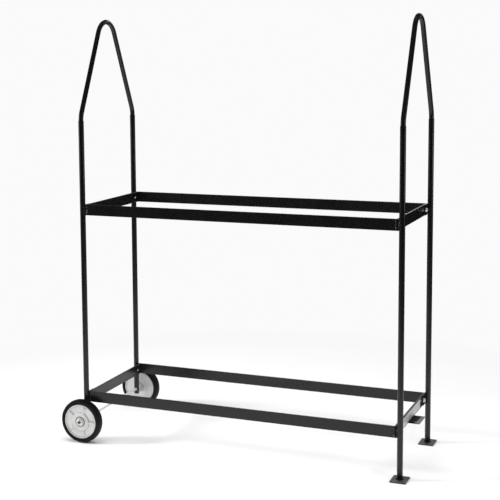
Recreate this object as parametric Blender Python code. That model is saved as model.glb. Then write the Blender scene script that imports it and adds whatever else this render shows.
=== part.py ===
"""Two-tier tyre storage rack with wheels at one end and foot pads at the other.

Metres, +Z up.  X runs along the rack (wheels at -X, foot pads at +X), -Y is the front.
The origin is on the floor, in the middle of the rack's outline.
"""

from math import cos, pi, radians, sin

import bpy
from mathutils import Matrix, Vector

# ---------------------------------------------------------------- dimensions
GAP = 0.0003            # clearance between touching pieces

SPAN = 1.496            # leg axis to leg axis, along X
LEG_Y = 0.2665          # leg axis from the middle plane, along Y
LEG_R = 0.0127          # upright tube, outside radius
LEG_WALL = 0.0012
LEG_TOP = 1.500
WHEEL_LEG_FOOT = 0.078  # lower end of the two uprights that carry the axle

HOOP_R = 0.0111         # hoop tube, outside radius
HOOP_WALL = 0.0015
HOOP_SPIGOT = 0.070     # length of hoop tube inside each upright
HOOP_LEAN = radians(26.0)
HOOP_BEND = 0.090       # centre-line radius of every bend
HOOP_APEX = 1.954       # centre-line height of the top of the hoop

BAR_H = 0.050           # flat bar used for rails and cross-members
BAR_T = 0.008
TIER_Z = {"lower": 0.1845, "upper": 1.066}

BRACKET_T = 0.003       # flat tab welded to the leg, bolted to the cross-member
BRACKET_REACH = 0.057
BRACKET_CORNER = 0.012

CROSS_BOLT_IN = 0.0335  # bolt axis from the leg axis, along the cross-member
BOLT_FLATS = 0.016      # across the flats of the hexagon
BOLT_HEAD = 0.0075
BOLT_FLANGE_R = 0.0105
BOLT_R = 0.0049
BOLT_TAIL = 0.0030      # thread that shows past the cross-member
BOLT_HOLE_R = 0.0055

PAD_X = 0.070
PAD_Y = 0.088
PAD_T = 0.005
WELD_H = 0.0045
WELD_W = 0.0045

LIFT_W = 0.108
LIFT_T = 0.005
LIFT_TIP = 0.0345       # reach past the leg axis
LIFT_CORNER = 0.008

LABEL_LO = (-0.200, 0.0056)
LABEL_HI = (0.170, 0.046)
LABEL_T = 0.0005

WHEEL_R = 0.1016
WHEEL_Y = 0.315
TYRE_HALF = 0.022
RIM_R = 0.0800
DISC_T = 0.0018
BOSS_R = 0.0205
HUB_R = 0.0130
HUB_HALF = 0.0240
HUB_BORE = 0.0072
RIB_COUNT = 5
RIB_LIFT = 0.0032

AXLE_R = 0.00635
AXLE_HALF = 0.351
WASHER_R = 0.0172
WASHER_T = 0.0022
PIN_R = 0.0015
PIN_OUT = 0.0060        # cotter pin axis past the outer washer
PIN_TOP = 0.0112        # where the pin's eye begins, above the axle's centre
PIN_EYE = 0.0030
SPACER_R = 0.0100
AXLE_PLAY = 0.0004      # clearance of washers and spacers on the axle

# ---------------------------------------------------------------- derived
FOOT_X = (SPAN + WHEEL_R - PAD_X / 2) / 2
AXLE_X = FOOT_X - SPAN
LEG_X = {"wheel": AXLE_X, "foot": FOOT_X}
INWARD = {"wheel": 1.0, "foot": -1.0}
SIDE = {"front": -1.0, "rear": 1.0}
BRACKET_IN = LEG_R + GAP                    # outer face of the bracket, from the leg axis
BAR_IN = BRACKET_IN + BRACKET_T + GAP       # outer face of the cross-members
RAIL_IN = BAR_IN + BAR_T + GAP              # ends of the rails
RAIL_OUT_Y = LEG_Y + 0.0085                 # outer face of a rail, end of a cross-member
WASHER_Y = WHEEL_Y + HUB_HALF + GAP
PIN_Y = WASHER_Y + WASHER_T + PIN_OUT

for old in list(bpy.data.objects):
    bpy.data.objects.remove(old, do_unlink=True)


# ---------------------------------------------------------------- materials
def material(name, colour, roughness, metallic):
    mat = bpy.data.materials.new(name)
    mat.use_nodes = True
    shader = mat.node_tree.nodes["Principled BSDF"]
    shader.inputs["Base Color"].default_value = (*colour, 1.0)
    shader.inputs["Roughness"].default_value = roughness
    shader.inputs["Metallic"].default_value = metallic
    return mat


BLACK = (0.022, 0.023, 0.026)


def coat(name):
    return material(name, BLACK, 0.42, 0.0)


# ---------------------------------------------------------------- mesh helpers
def make(name, verts, faces, mat, location=(0, 0, 0), smooth=False):
    mesh = bpy.data.meshes.new(name)
    mesh.from_pydata([tuple(v) for v in verts], [], faces)
    mesh.validate()
    mesh.update()
    mesh.polygons.foreach_set("use_smooth", [smooth] * len(mesh.polygons))
    obj = bpy.data.objects.new(name, mesh)
    obj.location = location
    bpy.context.scene.collection.objects.link(obj)
    if mat is not None:
        mesh.materials.append(mat)
    return obj


def rings_to_faces(ring_count, segs, closed):
    """Quads between successive rings; a closed stack joins its last ring to its first."""
    faces = []
    spans = ring_count if closed else ring_count - 1
    for i in range(spans):
        a = i * segs
        b = ((i + 1) % ring_count) * segs
        for j in range(segs):
            k = (j + 1) % segs
            faces.append((a + j, a + k, b + k, b + j))
    return faces


def lathe(name, profile, segs, mat, location, axis="Z", closed=True, lift=None):
    """Turn (radius, height) points about the local axis.

    A closed profile makes a ring; an open one is capped at both ends.
    The profile runs so that its outer side is passed with the height rising.
    """
    verts = []
    for radius, height in profile:
        for j in range(segs):
            turn = 2 * pi * j / segs
            extra = lift(radius, turn) if lift else 0.0
            verts.append(Vector((radius * cos(turn), radius * sin(turn), height + extra)))
    faces = rings_to_faces(len(profile), segs, closed)
    if not closed:
        last = (len(profile) - 1) * segs
        faces.append(tuple(reversed(range(segs))))
        faces.append(tuple(range(last, last + segs)))
    spin = {
        "Z": Matrix.Identity(4),
        "+Y": Matrix.Rotation(-pi / 2, 4, "X"),
        "-Y": Matrix.Rotation(pi / 2, 4, "X"),
        "+X": Matrix.Rotation(pi / 2, 4, "Y"),
        "-X": Matrix.Rotation(-pi / 2, 4, "Y"),
    }[axis]
    verts = [spin @ v for v in verts]
    return make(name, verts, faces, mat, location, smooth=True)


def sweep(name, path, side, r_out, segs, mat, location=(0, 0, 0), r_in=0.0):
    """Carry a round section along a flat path; `side` is the unit normal of the path's plane."""
    side = Vector(side)
    count = len(path)
    points = [Vector(p) for p in path]
    headings = []
    for i in range(count):
        ahead = points[min(i + 1, count - 1)] - points[max(i - 1, 0)]
        headings.append(ahead.normalized())

    def rings(radius, order):
        out = []
        for i in order:
            across = headings[i].cross(side)
            for j in range(segs):
                turn = 2 * pi * j / segs
                out.append(points[i] + radius * (cos(turn) * side + sin(turn) * across))
        return out

    forward = list(range(count))
    verts = rings(r_out, forward)
    if r_in > 0.0:
        verts += rings(r_in, forward[::-1])
        faces = rings_to_faces(2 * count, segs, True)
    else:
        faces = rings_to_faces(count, segs, False)
        last = (count - 1) * segs
        faces.append(tuple(reversed(range(segs))))
        faces.append(tuple(range(last, last + segs)))
    return make(name, verts, faces, mat, location, smooth=True)


def prism(name, outline, z0, z1, mat, location=(0, 0, 0), bevel=0.0):
    """Extrude an anticlockwise XY outline from z0 to z1."""
    n = len(outline)
    verts = [(x, y, z0) for x, y in outline] + [(x, y, z1) for x, y in outline]
    faces = [tuple(reversed(range(n))), tuple(range(n, 2 * n))]
    for i in range(n):
        k = (i + 1) % n
        faces.append((i, k, n + k, n + i))
    obj = make(name, verts, faces, mat, location)
    if bevel > 0.0:
        mod = obj.modifiers.new("edge", "BEVEL")
        mod.width = bevel
        mod.segments = 1
        mod.limit_method = "ANGLE"
    return obj


def slab(name, size, mat, location, bevel=0.0):
    """Box given by full sizes, centred on its location."""
    x, y, z = (s / 2 for s in size)
    outline = [(-x, -y), (x, -y), (x, y), (-x, y)]
    return prism(name, outline, -z, z, mat, location, bevel)


def cutter(obj):
    obj.hide_render = True
    obj.display_type = "WIRE"
    return obj


def boolean(obj, tool, operation="DIFFERENCE"):
    mod = obj.modifiers.new(operation.lower(), "BOOLEAN")
    mod.operation = operation
    mod.solver = "EXACT"
    mod.object = tool
    return obj


def rods(name, centres, axis, radius, length, segs):
    """Hidden tool made of parallel rods, used to drill several holes at once."""
    verts = []
    faces = []
    along = Vector(axis)
    up = Vector((0, 0, 1)) if abs(along.z) < 0.5 else Vector((1, 0, 0))
    across = along.cross(up)
    for centre in centres:
        base = len(verts)
        for end in (-0.5, 0.5):
            for j in range(segs):
                turn = 2 * pi * (j + 0.5) / segs
                spoke = radius * (cos(turn) * across + sin(turn) * up)
                verts.append(Vector(centre) + end * length * along + spoke)
        for j in range(segs):
            k = (j + 1) % segs
            faces.append((base + j, base + segs + j, base + segs + k, base + k))
        faces.append(tuple(base + j for j in range(segs)))
        faces.append(tuple(base + segs + j for j in reversed(range(segs))))
    return cutter(make(name, verts, faces, None))


def hex_bolt(name, location, axis, flats, head, flange_r, shank_r, length):
    """Flanged hex-head bolt; local +Z points out of the head, the seat is at zero."""
    corner = flats / 2 / cos(pi / 6)
    rings = [
        (shank_r, -length, False),
        (shank_r, 0.0, False),
        (flange_r, 0.0, False),
        (flange_r, head * 0.14, False),
        (corner, head * 0.26, True),
        (corner, head * 0.88, True),
        (flats / 2 * 0.94, head, False),
    ]
    segs = 12
    verts = []
    for radius, height, is_hex in rings:
        for j in range(segs):
            turn = 2 * pi * j / segs
            reach = radius * (cos(pi / 6) if is_hex and j % 2 else 1.0)
            verts.append(Vector((reach * cos(turn), reach * sin(turn), height)))
    faces = rings_to_faces(len(rings), segs, False)
    last = (len(rings) - 1) * segs
    faces.append(tuple(reversed(range(segs))))
    faces.append(tuple(range(last, last + segs)))
    obj = make(name, verts, faces, material(name, (0.62, 0.62, 0.60), 0.35, 0.9), location)
    obj.rotation_euler = {"+X": (0, pi / 2, 0), "-X": (0, -pi / 2, 0)}[axis]
    return obj


# ---------------------------------------------------------------- hidden tools
tiers = list(TIER_Z.items())
cross_bolt_y = {side: SIDE[side] * (LEG_Y - CROSS_BOLT_IN) for side in SIDE}

cross_drill = rods(
    "tool_cross_bolts",
    [
        (LEG_X[end] + INWARD[end] * BAR_IN, cross_bolt_y[side], z + BAR_H / 2)
        for _, z in tiers for end in LEG_X for side in SIDE
    ],
    (1, 0, 0), BOLT_HOLE_R, 0.040, 12,
)
axle_drill = rods("tool_axle", [(AXLE_X, 0, WHEEL_R)], (0, 1, 0), AXLE_R + 0.0005, 0.72, 16)
pin_drill = rods(
    "tool_cotter_pins",
    [(AXLE_X, SIDE[side] * PIN_Y, WHEEL_R) for side in SIDE],
    (0, 0, 1), PIN_R + 0.0004, 0.040, 12,
)

# ---------------------------------------------------------------- uprights and foot pads
for end, x in LEG_X.items():
    for side, s in SIDE.items():
        bottom = PAD_T + GAP if end == "foot" else WHEEL_LEG_FOOT
        upright = sweep(
            f"upright_{side}_{end}_end",
            [(0, 0, bottom), (0, 0, (bottom + LEG_TOP) / 2), (0, 0, LEG_TOP)],
            (1, 0, 0), LEG_R, 24, coat(f"upright_{side}_{end}"),
            (x, s * LEG_Y, 0), LEG_R - LEG_WALL,
        )
        if end == "wheel":
            boolean(upright, axle_drill)
            continue
        pad = slab(
            f"foot_pad_{side}", (PAD_X, PAD_Y, PAD_T), coat(f"foot_pad_{side}"),
            (x, s * LEG_Y, PAD_T / 2), 0.001,
        )
        inner = LEG_R + 0.0005
        collar = lathe(
            f"tool_weld_{side}",
            [
                (inner, PAD_T - 0.002),
                (inner + WELD_W, PAD_T - 0.002),
                (inner + WELD_W, PAD_T + 0.0006),
                (inner + WELD_W * 0.45, PAD_T + WELD_H * 0.6),
                (inner, PAD_T + WELD_H),
            ],
            24, None, (x, s * LEG_Y, 0),
        )
        boolean(pad, cutter(collar), "UNION")


# ---------------------------------------------------------------- hoops
def hoop_path():
    """Half the hoop's centre line, front side, from the spigot's lower end to the apex."""
    bend_y = -LEG_Y + HOOP_BEND
    straight = (LEG_Y - HOOP_BEND) / sin(HOOP_LEAN)
    rise = HOOP_BEND + straight * cos(HOOP_LEAN)
    bend_z = HOOP_APEX - rise
    path = [(0, -LEG_Y, LEG_TOP - HOOP_SPIGOT), (0, -LEG_Y, bend_z)]
    low_steps = 2
    for i in range(1, low_steps + 1):
        turn = HOOP_LEAN * i / low_steps
        path.append((0, bend_y - HOOP_BEND * cos(turn), bend_z + HOOP_BEND * sin(turn)))
    top_steps = 6
    for i in range(top_steps + 1):
        turn = HOOP_LEAN + (pi / 2 - HOOP_LEAN) * i / top_steps
        centre_z = HOOP_APEX - HOOP_BEND
        path.append((0, -HOOP_BEND * cos(turn), centre_z + HOOP_BEND * sin(turn)))
    return path


half = hoop_path()
whole = half + [(x, -y, z) for x, y, z in reversed(half[:-1])]
for end, x in LEG_X.items():
    sweep(
        f"hoop_{end}_end", whole, (1, 0, 0), HOOP_R, 16, coat(f"hoop_{end}"),
        (x, 0, 0), HOOP_R - HOOP_WALL,
    )

# ---------------------------------------------------------------- rails and cross-members
rail_length = SPAN - 2 * RAIL_IN
rail_mid = (AXLE_X + FOOT_X) / 2
cross_length = 2 * RAIL_OUT_Y
for tier, z in tiers:
    mid_z = z + BAR_H / 2
    for side, s in SIDE.items():
        slab(
            f"rail_{tier}_{side}", (rail_length, BAR_T, BAR_H), coat(f"rail_{tier}_{side}"),
            (rail_mid, s * (RAIL_OUT_Y - BAR_T / 2), mid_z),
        )
    for end, x in LEG_X.items():
        cross = slab(
            f"cross_{tier}_{end}_end", (BAR_T, cross_length, BAR_H), coat(f"cross_{tier}_{end}"),
            (x + INWARD[end] * (BAR_IN + BAR_T / 2), 0, mid_z),
        )
        boolean(cross, cross_drill)

# ---------------------------------------------------------------- corner brackets and bolts
def tab_outline(way):
    """Flat tab seen along X: square where it meets the leg, rounded at its free end."""
    far = BRACKET_REACH - BRACKET_CORNER
    points = [(0.0, 0.0)]
    for rise, first in ((BRACKET_CORNER, -pi / 2), (BAR_H - BRACKET_CORNER, 0.0)):
        for i in range(6):
            turn = first + pi / 2 * i / 5
            points.append((far + BRACKET_CORNER * cos(turn), rise + BRACKET_CORNER * sin(turn)))
    points.append((0.0, BAR_H))
    if way > 0:
        return points
    return [(-u, v) for u, v in reversed(points)]


for tier, z in tiers:
    for end, x in LEG_X.items():
        for side, s in SIDE.items():
            i = INWARD[end]
            tag = f"{tier}_{side}_{end}"
            near_x = x + min(i * BRACKET_IN, i * (BRACKET_IN + BRACKET_T))
            bracket = prism(
                f"bracket_{tag}", tab_outline(-s), 0.0, BRACKET_T, coat(tag),
                (near_x, s * RAIL_OUT_Y, z),
            )
            bracket.rotation_euler = (pi / 2, 0, pi / 2)
            boolean(bracket, cross_drill)
            hex_bolt(
                f"cross_bolt_{tag}",
                (x + i * (BRACKET_IN - GAP), cross_bolt_y[side], z + BAR_H / 2),
                "+X" if i < 0 else "-X", BOLT_FLATS, BOLT_HEAD, BOLT_FLANGE_R, BOLT_R,
                BRACKET_T + BAR_T + BOLT_TAIL,
            )

# ---------------------------------------------------------------- lift plate and label
face_x = FOOT_X - BAR_IN + GAP
low_z = TIER_Z["lower"]
reach = FOOT_X + LIFT_TIP - face_x
cut = reach - LIFT_CORNER
lift_outline = [
    (0, -LIFT_W / 2), (cut, -LIFT_W / 2), (reach, -LIFT_W / 2 + LIFT_CORNER),
    (reach, LIFT_W / 2 - LIFT_CORNER), (cut, LIFT_W / 2), (0, LIFT_W / 2),
]
prism("lift_plate", lift_outline, 0.0, LIFT_T, coat("lift_plate"), (face_x, 0, low_z), 0.0008)
label_size = (LABEL_T, LABEL_HI[0] - LABEL_LO[0], LABEL_HI[1] - LABEL_LO[1])
slab(
    "label_blank", label_size, material("label_blank", (0.56, 0.57, 0.60), 0.35, 0.4),
    (
        face_x + LABEL_T / 2,
        (LABEL_LO[0] + LABEL_HI[0]) / 2,
        low_z + (LABEL_LO[1] + LABEL_HI[1]) / 2,
    ),
)

# ---------------------------------------------------------------- axle
axle = lathe(
    "axle",
    [
        (AXLE_R - 0.0008, -AXLE_HALF), (AXLE_R, -AXLE_HALF + 0.0008),
        (AXLE_R, AXLE_HALF - 0.0008), (AXLE_R - 0.0008, AXLE_HALF),
    ],
    20, material("axle", (0.60, 0.60, 0.58), 0.3, 0.95), (AXLE_X, 0, WHEEL_R), "+Y", closed=False,
)
boolean(axle, pin_drill)


# ---------------------------------------------------------------- wheels
def rib_lift(radius, turn):
    """Raised radial ribs pressed into the outer disc."""
    inner, outer = 0.046, 0.071
    if radius <= inner or radius >= outer:
        return 0.0
    phase = (turn * RIB_COUNT / (2 * pi)) % 1.0
    nearness = abs(phase - 0.5) * 2
    return RIB_LIFT * max(0.0, (nearness - 0.62) / 0.38)


TYRE_PROFILE = [
    (RIM_R + GAP, -0.0190), (0.0855, -0.0210), (0.0930, -TYRE_HALF), (0.0985, -0.0160),
    (WHEEL_R, -0.0070), (WHEEL_R, 0.0070), (0.0985, 0.0160), (0.0930, TYRE_HALF),
    (0.0855, 0.0210), (RIM_R + GAP, 0.0190),
]
DISH = 0.0165
PLATEAU = DISH + 0.0038
OUTER_SKIN = [
    (RIM_R, 0.0190), (0.0760, 0.0195), (0.0715, DISH), (0.0650, DISH), (0.0550, DISH),
    (0.0465, DISH), (0.0405, PLATEAU), (BOSS_R + 0.0040, PLATEAU), (BOSS_R + 0.0026, DISH + 0.0006),
    (BOSS_R + 0.0010, DISH + 0.0006), (BOSS_R, 0.0215), (HUB_R + GAP, 0.0215),
]
INNER_SKIN = [
    (RIM_R, 0.0190), (0.0760, 0.0195), (0.0715, DISH), (BOSS_R + 0.004, DISH),
    (BOSS_R, 0.0215), (HUB_R + GAP, 0.0215),
]
RIM_BAND = [(RIM_R - DISC_T, 0.0003), (RIM_R, 0.0003)]


def disc_profile(skin):
    """Pressed disc of even thickness with a rim band that reaches the wheel's mid-plane."""
    back = [(r, y - DISC_T) for r, y in reversed(skin[2:])]
    return skin + back + [(RIM_R - DISC_T, 0.0160)] + RIM_BAND


for side, s in SIDE.items():
    hub = (AXLE_X, s * WHEEL_Y, WHEEL_R)
    outward = "-Y" if s < 0 else "+Y"
    inward = "+Y" if s < 0 else "-Y"
    lathe(
        f"wheel_tyre_{side}", TYRE_PROFILE, 36,
        material(f"wheel_tyre_{side}", (0.018, 0.018, 0.018), 0.75, 0.0), hub, outward,
    )
    lathe(
        f"wheel_disc_outer_{side}", disc_profile(OUTER_SKIN), 30,
        material(f"wheel_disc_outer_{side}", (0.62, 0.62, 0.64), 0.4, 0.6), hub, outward,
        lift=rib_lift,
    )
    lathe(
        f"wheel_disc_inner_{side}", disc_profile(INNER_SKIN), 30,
        material(f"wheel_disc_inner_{side}", (0.62, 0.62, 0.64), 0.4, 0.6), hub, inward,
    )
    lathe(
        f"wheel_hub_sleeve_{side}",
        [(HUB_BORE, -HUB_HALF), (HUB_R, -HUB_HALF), (HUB_R, HUB_HALF), (HUB_BORE, HUB_HALF)],
        24, material(f"wheel_hub_sleeve_{side}", (0.42, 0.42, 0.42), 0.4, 0.9), hub, outward,
    )
    bore = AXLE_R + AXLE_PLAY
    spacer_half = (WHEEL_Y - HUB_HALF - GAP - LEG_Y - LEG_R - GAP) / 2
    spacer_y = s * (LEG_Y + LEG_R + GAP + spacer_half)
    lathe(
        f"axle_spacer_{side}",
        [(bore, -spacer_half), (SPACER_R, -spacer_half), (SPACER_R, spacer_half),
         (bore, spacer_half)],
        20, material(f"axle_spacer_{side}", (0.5, 0.5, 0.48), 0.35, 0.9),
        (AXLE_X, spacer_y, WHEEL_R), outward,
    )
    lathe(
        f"axle_washer_{side}",
        [(bore, 0.0), (WASHER_R, 0.0), (WASHER_R, WASHER_T), (bore, WASHER_T)],
        20, material(f"axle_washer_{side}", (0.70, 0.70, 0.66), 0.3, 0.95),
        (AXLE_X, s * WASHER_Y, WHEEL_R), outward,
    )
    pin_path = [(-0.0085, 0, -0.0120), (-0.0035, 0, -0.0110), (0, 0, -0.0090), (0, 0, PIN_TOP)]
    for i in range(1, 9):
        turn = radians(30.0) * i
        pin_path.append((PIN_EYE * (1 - cos(turn)), 0, PIN_TOP + PIN_EYE * sin(turn)))
    sweep(
        f"cotter_pin_{side}", pin_path, (0, 1, 0), PIN_R, 8,
        material(f"cotter_pin_{side}", (0.65, 0.65, 0.62), 0.3, 0.95),
        (AXLE_X, s * PIN_Y, WHEEL_R),
    )
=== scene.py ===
"""Tyre storage rack: the visible model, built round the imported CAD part.

Metres, +Z up.  X runs along the rack (wheels at -X, foot pads at +X), -Y is the front.
Places and outside sizes are read from the CAD nodes.  The numbers below are finish detail,
such as edge radii, weld beads and threads, the sections of the wheel's pressings, and looks.
"""

from math import atan2, cos, hypot, pi, radians, sin, sqrt, tan

import bmesh
import bpy
from mathutils import Matrix, Vector


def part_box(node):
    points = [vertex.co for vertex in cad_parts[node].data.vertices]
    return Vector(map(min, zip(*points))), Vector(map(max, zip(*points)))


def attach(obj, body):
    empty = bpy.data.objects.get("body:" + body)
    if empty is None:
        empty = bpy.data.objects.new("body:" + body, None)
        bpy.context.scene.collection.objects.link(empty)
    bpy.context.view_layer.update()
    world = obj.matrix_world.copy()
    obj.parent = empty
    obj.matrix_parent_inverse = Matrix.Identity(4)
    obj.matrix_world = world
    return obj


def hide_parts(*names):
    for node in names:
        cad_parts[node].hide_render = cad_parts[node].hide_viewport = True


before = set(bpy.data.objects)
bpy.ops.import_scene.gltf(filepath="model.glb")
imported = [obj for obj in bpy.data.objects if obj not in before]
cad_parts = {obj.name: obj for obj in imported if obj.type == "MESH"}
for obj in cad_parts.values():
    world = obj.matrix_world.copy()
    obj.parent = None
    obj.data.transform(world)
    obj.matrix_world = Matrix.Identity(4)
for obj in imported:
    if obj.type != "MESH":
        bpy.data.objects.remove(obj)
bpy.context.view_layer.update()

TIERS = ("lower", "upper")
SIDES = {"front": -1.0, "rear": 1.0}
ENDS = {"wheel": -1.0, "foot": 1.0}

# ------------------------------------------------------------------ finish detail
TUBE_SEGS = 48
TUBE_EDGE = 0.00035          # rounding of a cut tube end
UPRIGHT_WALL = 0.0012
HOOP_WALL = 0.0015
HOOP_BEND = 0.090            # centre-line radius of the bends
HOOP_LEAN = radians(26.0)
HOOP_START = 0.020           # straight length kept just below the first bend

BAR_EDGE = 0.0009            # rolled corner of the flat bar
PLATE_EDGE = 0.0006
BRACKET_CORNER = 0.012       # rounded free corners of the bracket tabs
PAD_T = 0.005
PAD_EDGE = 0.0008
PAD_CORNER = 0.004
LIFT_EDGE = 0.0007
LIFT_GAP = 0.0002            # the lift plate is set this much closer, to narrow the seam
LABEL_EDGE = 0.00008
LABEL_CORNER = 0.0025

BEAD_SEGS = 14
BEAD_PITCH = 0.0030          # ripple spacing along a weld bead
BEAD_SHORT = 0.0030          # a bead stops this far short of a plate's end
TAB_BEAD_R = 0.00224         # beads between a tab and the leg
TAB_BEAD_OUT = 0.0012        # from the tab's outer face to the middle of the bead
GROOVE = 0.0078              # where a tab meets the round of the leg
SEAM_R = 0.0042              # bead over the corner seams of the tier frames
SEAM_SINK = 0.0030
PAD_BEAD_R = 0.0036          # ring of weld round the foot of a leg
PAD_BEAD_OUT = 0.0006
PAD_BEAD_STEPS = 72
LIFT_BEAD_R = 0.0027
LIFT_BEAD_IN = 0.0008
LIFT_BEAD_SHORT = 0.0040
BEAD_RAISE = 0.0004          # height of a bead's middle over the plate under it

SCORCHED_END = 0.0012        # end of a cross-member, dulled by the corner weld
TAB_ROOT_SHADE = 0.0105       # from the leg's axis, the tab painted darker as shade of the gap at the leg, and dulled by its weld
SHEEN_START = 0.0030           # past the leg, where the painted sheen on the lift plate begins
DARK_AXLE_END = 0.0070          # darkened length at each end of the axle

DRILL_R = 0.0055             # bolt holes in tabs and cross-members
DRILL_PLAY = 0.0005          # round the axle, in the uprights
BOLT_FLATS = 0.016
BOLT_SHANK_R = 0.0049
BOLT_THREADS = 0.0055        # threaded length
BOLT_HEAD = 0.0075
THREAD_PITCH = 0.0015
THREAD_DEPTH = 0.0008

RIM_R = 0.0800
RIM_TOP = 0.0198             # heights on a disc are from the wheel's middle plane
RIM_FLOOR = 0.0003
DISC_T = 0.0018
DISC_BEND = 0.0016           # bend radius of the pressing
DISH = 0.0165
PLATEAU = 0.0038             # height of the raised middle of the outer disc
PLATEAU_R = 0.0405
PLATEAU_FOOT = 0.0465
MOAT_RISE = 0.0006           # floor of the groove round the boss, over the dished web
BOSS_R = 0.0205
BOSS_TOP = 0.0215
HUB_R = 0.0130
HUB_BORE = 0.0072
RIB_COUNT = 5
RIB_LIFT = 0.0048
RIB_HALF = radians(10.5)     # half angle of a rib at RIB_MIDDLE
RIB_MIDDLE = 0.058
RIB_IN = 0.0420
RIB_OUT = 0.0725
RIB_FADE = 0.14              # share of a rib's length over which each end dies away
LONG_SPAN = 0.012            # straight stretches of a disc longer than this are divided
SPAN_STEPS = 12
SHADED_GROOVES = (              # radius, half width and strength of the painted shade in each groove
    (0.0223, 0.0026, 0.90),
    (0.0462, 0.0022, 0.22),
    (0.0735, 0.0018, 0.18),
)
TYRE_SEAT = RIM_R + 0.0003
TYRE_WALL = (                # radius and share of the half width, from the rim outwards
    (TYRE_SEAT, 0.86), (TYRE_SEAT + 0.0022, 0.93), (0.0866, 0.955), (0.0872, 0.985),
    (0.0884, 0.985), (0.0890, 0.965), (0.0932, 1.0), (0.0962, 0.86),
)
TREAD_CROWN = (              # drop below the full radius and share of the half width
    (0.0026, 0.70), (0.0007, 0.44), (0.0, 0.16), (0.0, 0.02),
)
TYRE_BEND = 0.0012

AXLE_R = 0.00635
AXLE_PLAY = 0.0004           # inside spacers and washers
AXLE_CHAMFER = (0.0009, 0.0011)
AXLE_TIP_R = 0.0006          # where the flat ends close
PIN_HOLE_R = 0.0019
PIN_WIRE = 0.00078
PIN_GAP = 0.00004            # half the space between the two legs of a pin
PIN_EYE = 0.0029
PIN_NECK = 0.0012            # from the eye's throat down to the straight of the legs
PIN_TIP = 0.00025
PIN_TIP_R = 0.0003
LONG_LEG = (                 # (x, height over the pin's lowest point) along the bent leg
    (-0.0078, 0.0014), (-0.0048, 0.0018), (-0.0024, 0.0028), (-0.0011, 0.0044),
)
SHORT_LEG = ((0.0015, 0.0030), (0.0024, 0.0012))
LONG_LEG_TOP = 0.0062        # where each leg starts to bend
SHORT_LEG_TOP = 0.0052
PIN_SEGS = 14
PIN_EYE_STEPS = 20

# ------------------------------------------------------------------ colours (linear)
BLACK = (0.0040, 0.0041, 0.0045)
CHARCOAL = (0.0046, 0.0048, 0.0056)
COAT_SHINE = 0.43            # specular level of the powder coat
# foot pad coat, lighter than the rest of the black coat: painted reflection
PAD_COAT_REFLECTION = (0.0185, 0.0190, 0.0215)
DUST = (0.165, 0.166, 0.170)
PRIMER = (0.060, 0.058, 0.055)
# lighter coat: painted sheen on the lift plate
PAINTED_SHEEN = (0.120, 0.119, 0.116)
# painted shade in the wheel disc's grooves
GROOVE_SHADE = (0.115, 0.108, 0.092)
AXLE_END_DARK = (0.010, 0.0095, 0.008)
STEEL = (0.780, 0.780, 0.760)
ZINC = (0.760, 0.750, 0.690)
SILVER = (0.660, 0.660, 0.655)
RUBBER = (0.0030, 0.0030, 0.0031)
# unpainted weld metal, also standing in for painted glints
BARE_WELD_AND_GLINT = (0.300, 0.295, 0.285)
WHITE_OXIDE = (0.460, 0.460, 0.440)
WHEEL_STAIN = (0.360, 0.345, 0.320)
RUBBER_SCUFF = (0.085, 0.080, 0.074)
FOIL_DARK = (0.460, 0.465, 0.475)
FOIL_LIGHT = (0.620, 0.625, 0.630)
FOIL_SMUDGE = (0.270, 0.275, 0.290)
PAPER = (0.860, 0.860, 0.860)
PAPER_FAR = (0.060, 0.060, 0.060)
BACKDROP = (0.960, 0.960, 0.960)
ROOM = (0.950, 0.970, 1.000)
ROOM_LIGHT = 0.02

# ------------------------------------------------------------------ floor and camera
FLOOR_HALF = 40.0
FLOOR_DROP = 0.0004          # keeps the floor from touching the tyres and pads
PAPER_SPAN = (1.7, 3.6)      # distances over which the paper turns dark for every other ray
WHITE_SPAN = (0.9, 2.4)      # distances over which the camera sees it turn backdrop white
CAMERA_PLACE = (1.9575, -5.1462, 1.8123)
CAMERA_YAW = -0.4117         # from +Y, clockwise seen from above
CAMERA_DIP = 0.1142
CAMERA_ROLL = 0.0103
CAMERA_LENS = 87.06
CAMERA_SENSOR = 36.0
CAMERA_SHIFT = (0.12, -0.12)


def centre(node):
    low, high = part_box(node)
    return (low + high) / 2


def tint(colour, share):
    return tuple(min(1.0, share * c) for c in colour)


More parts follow.
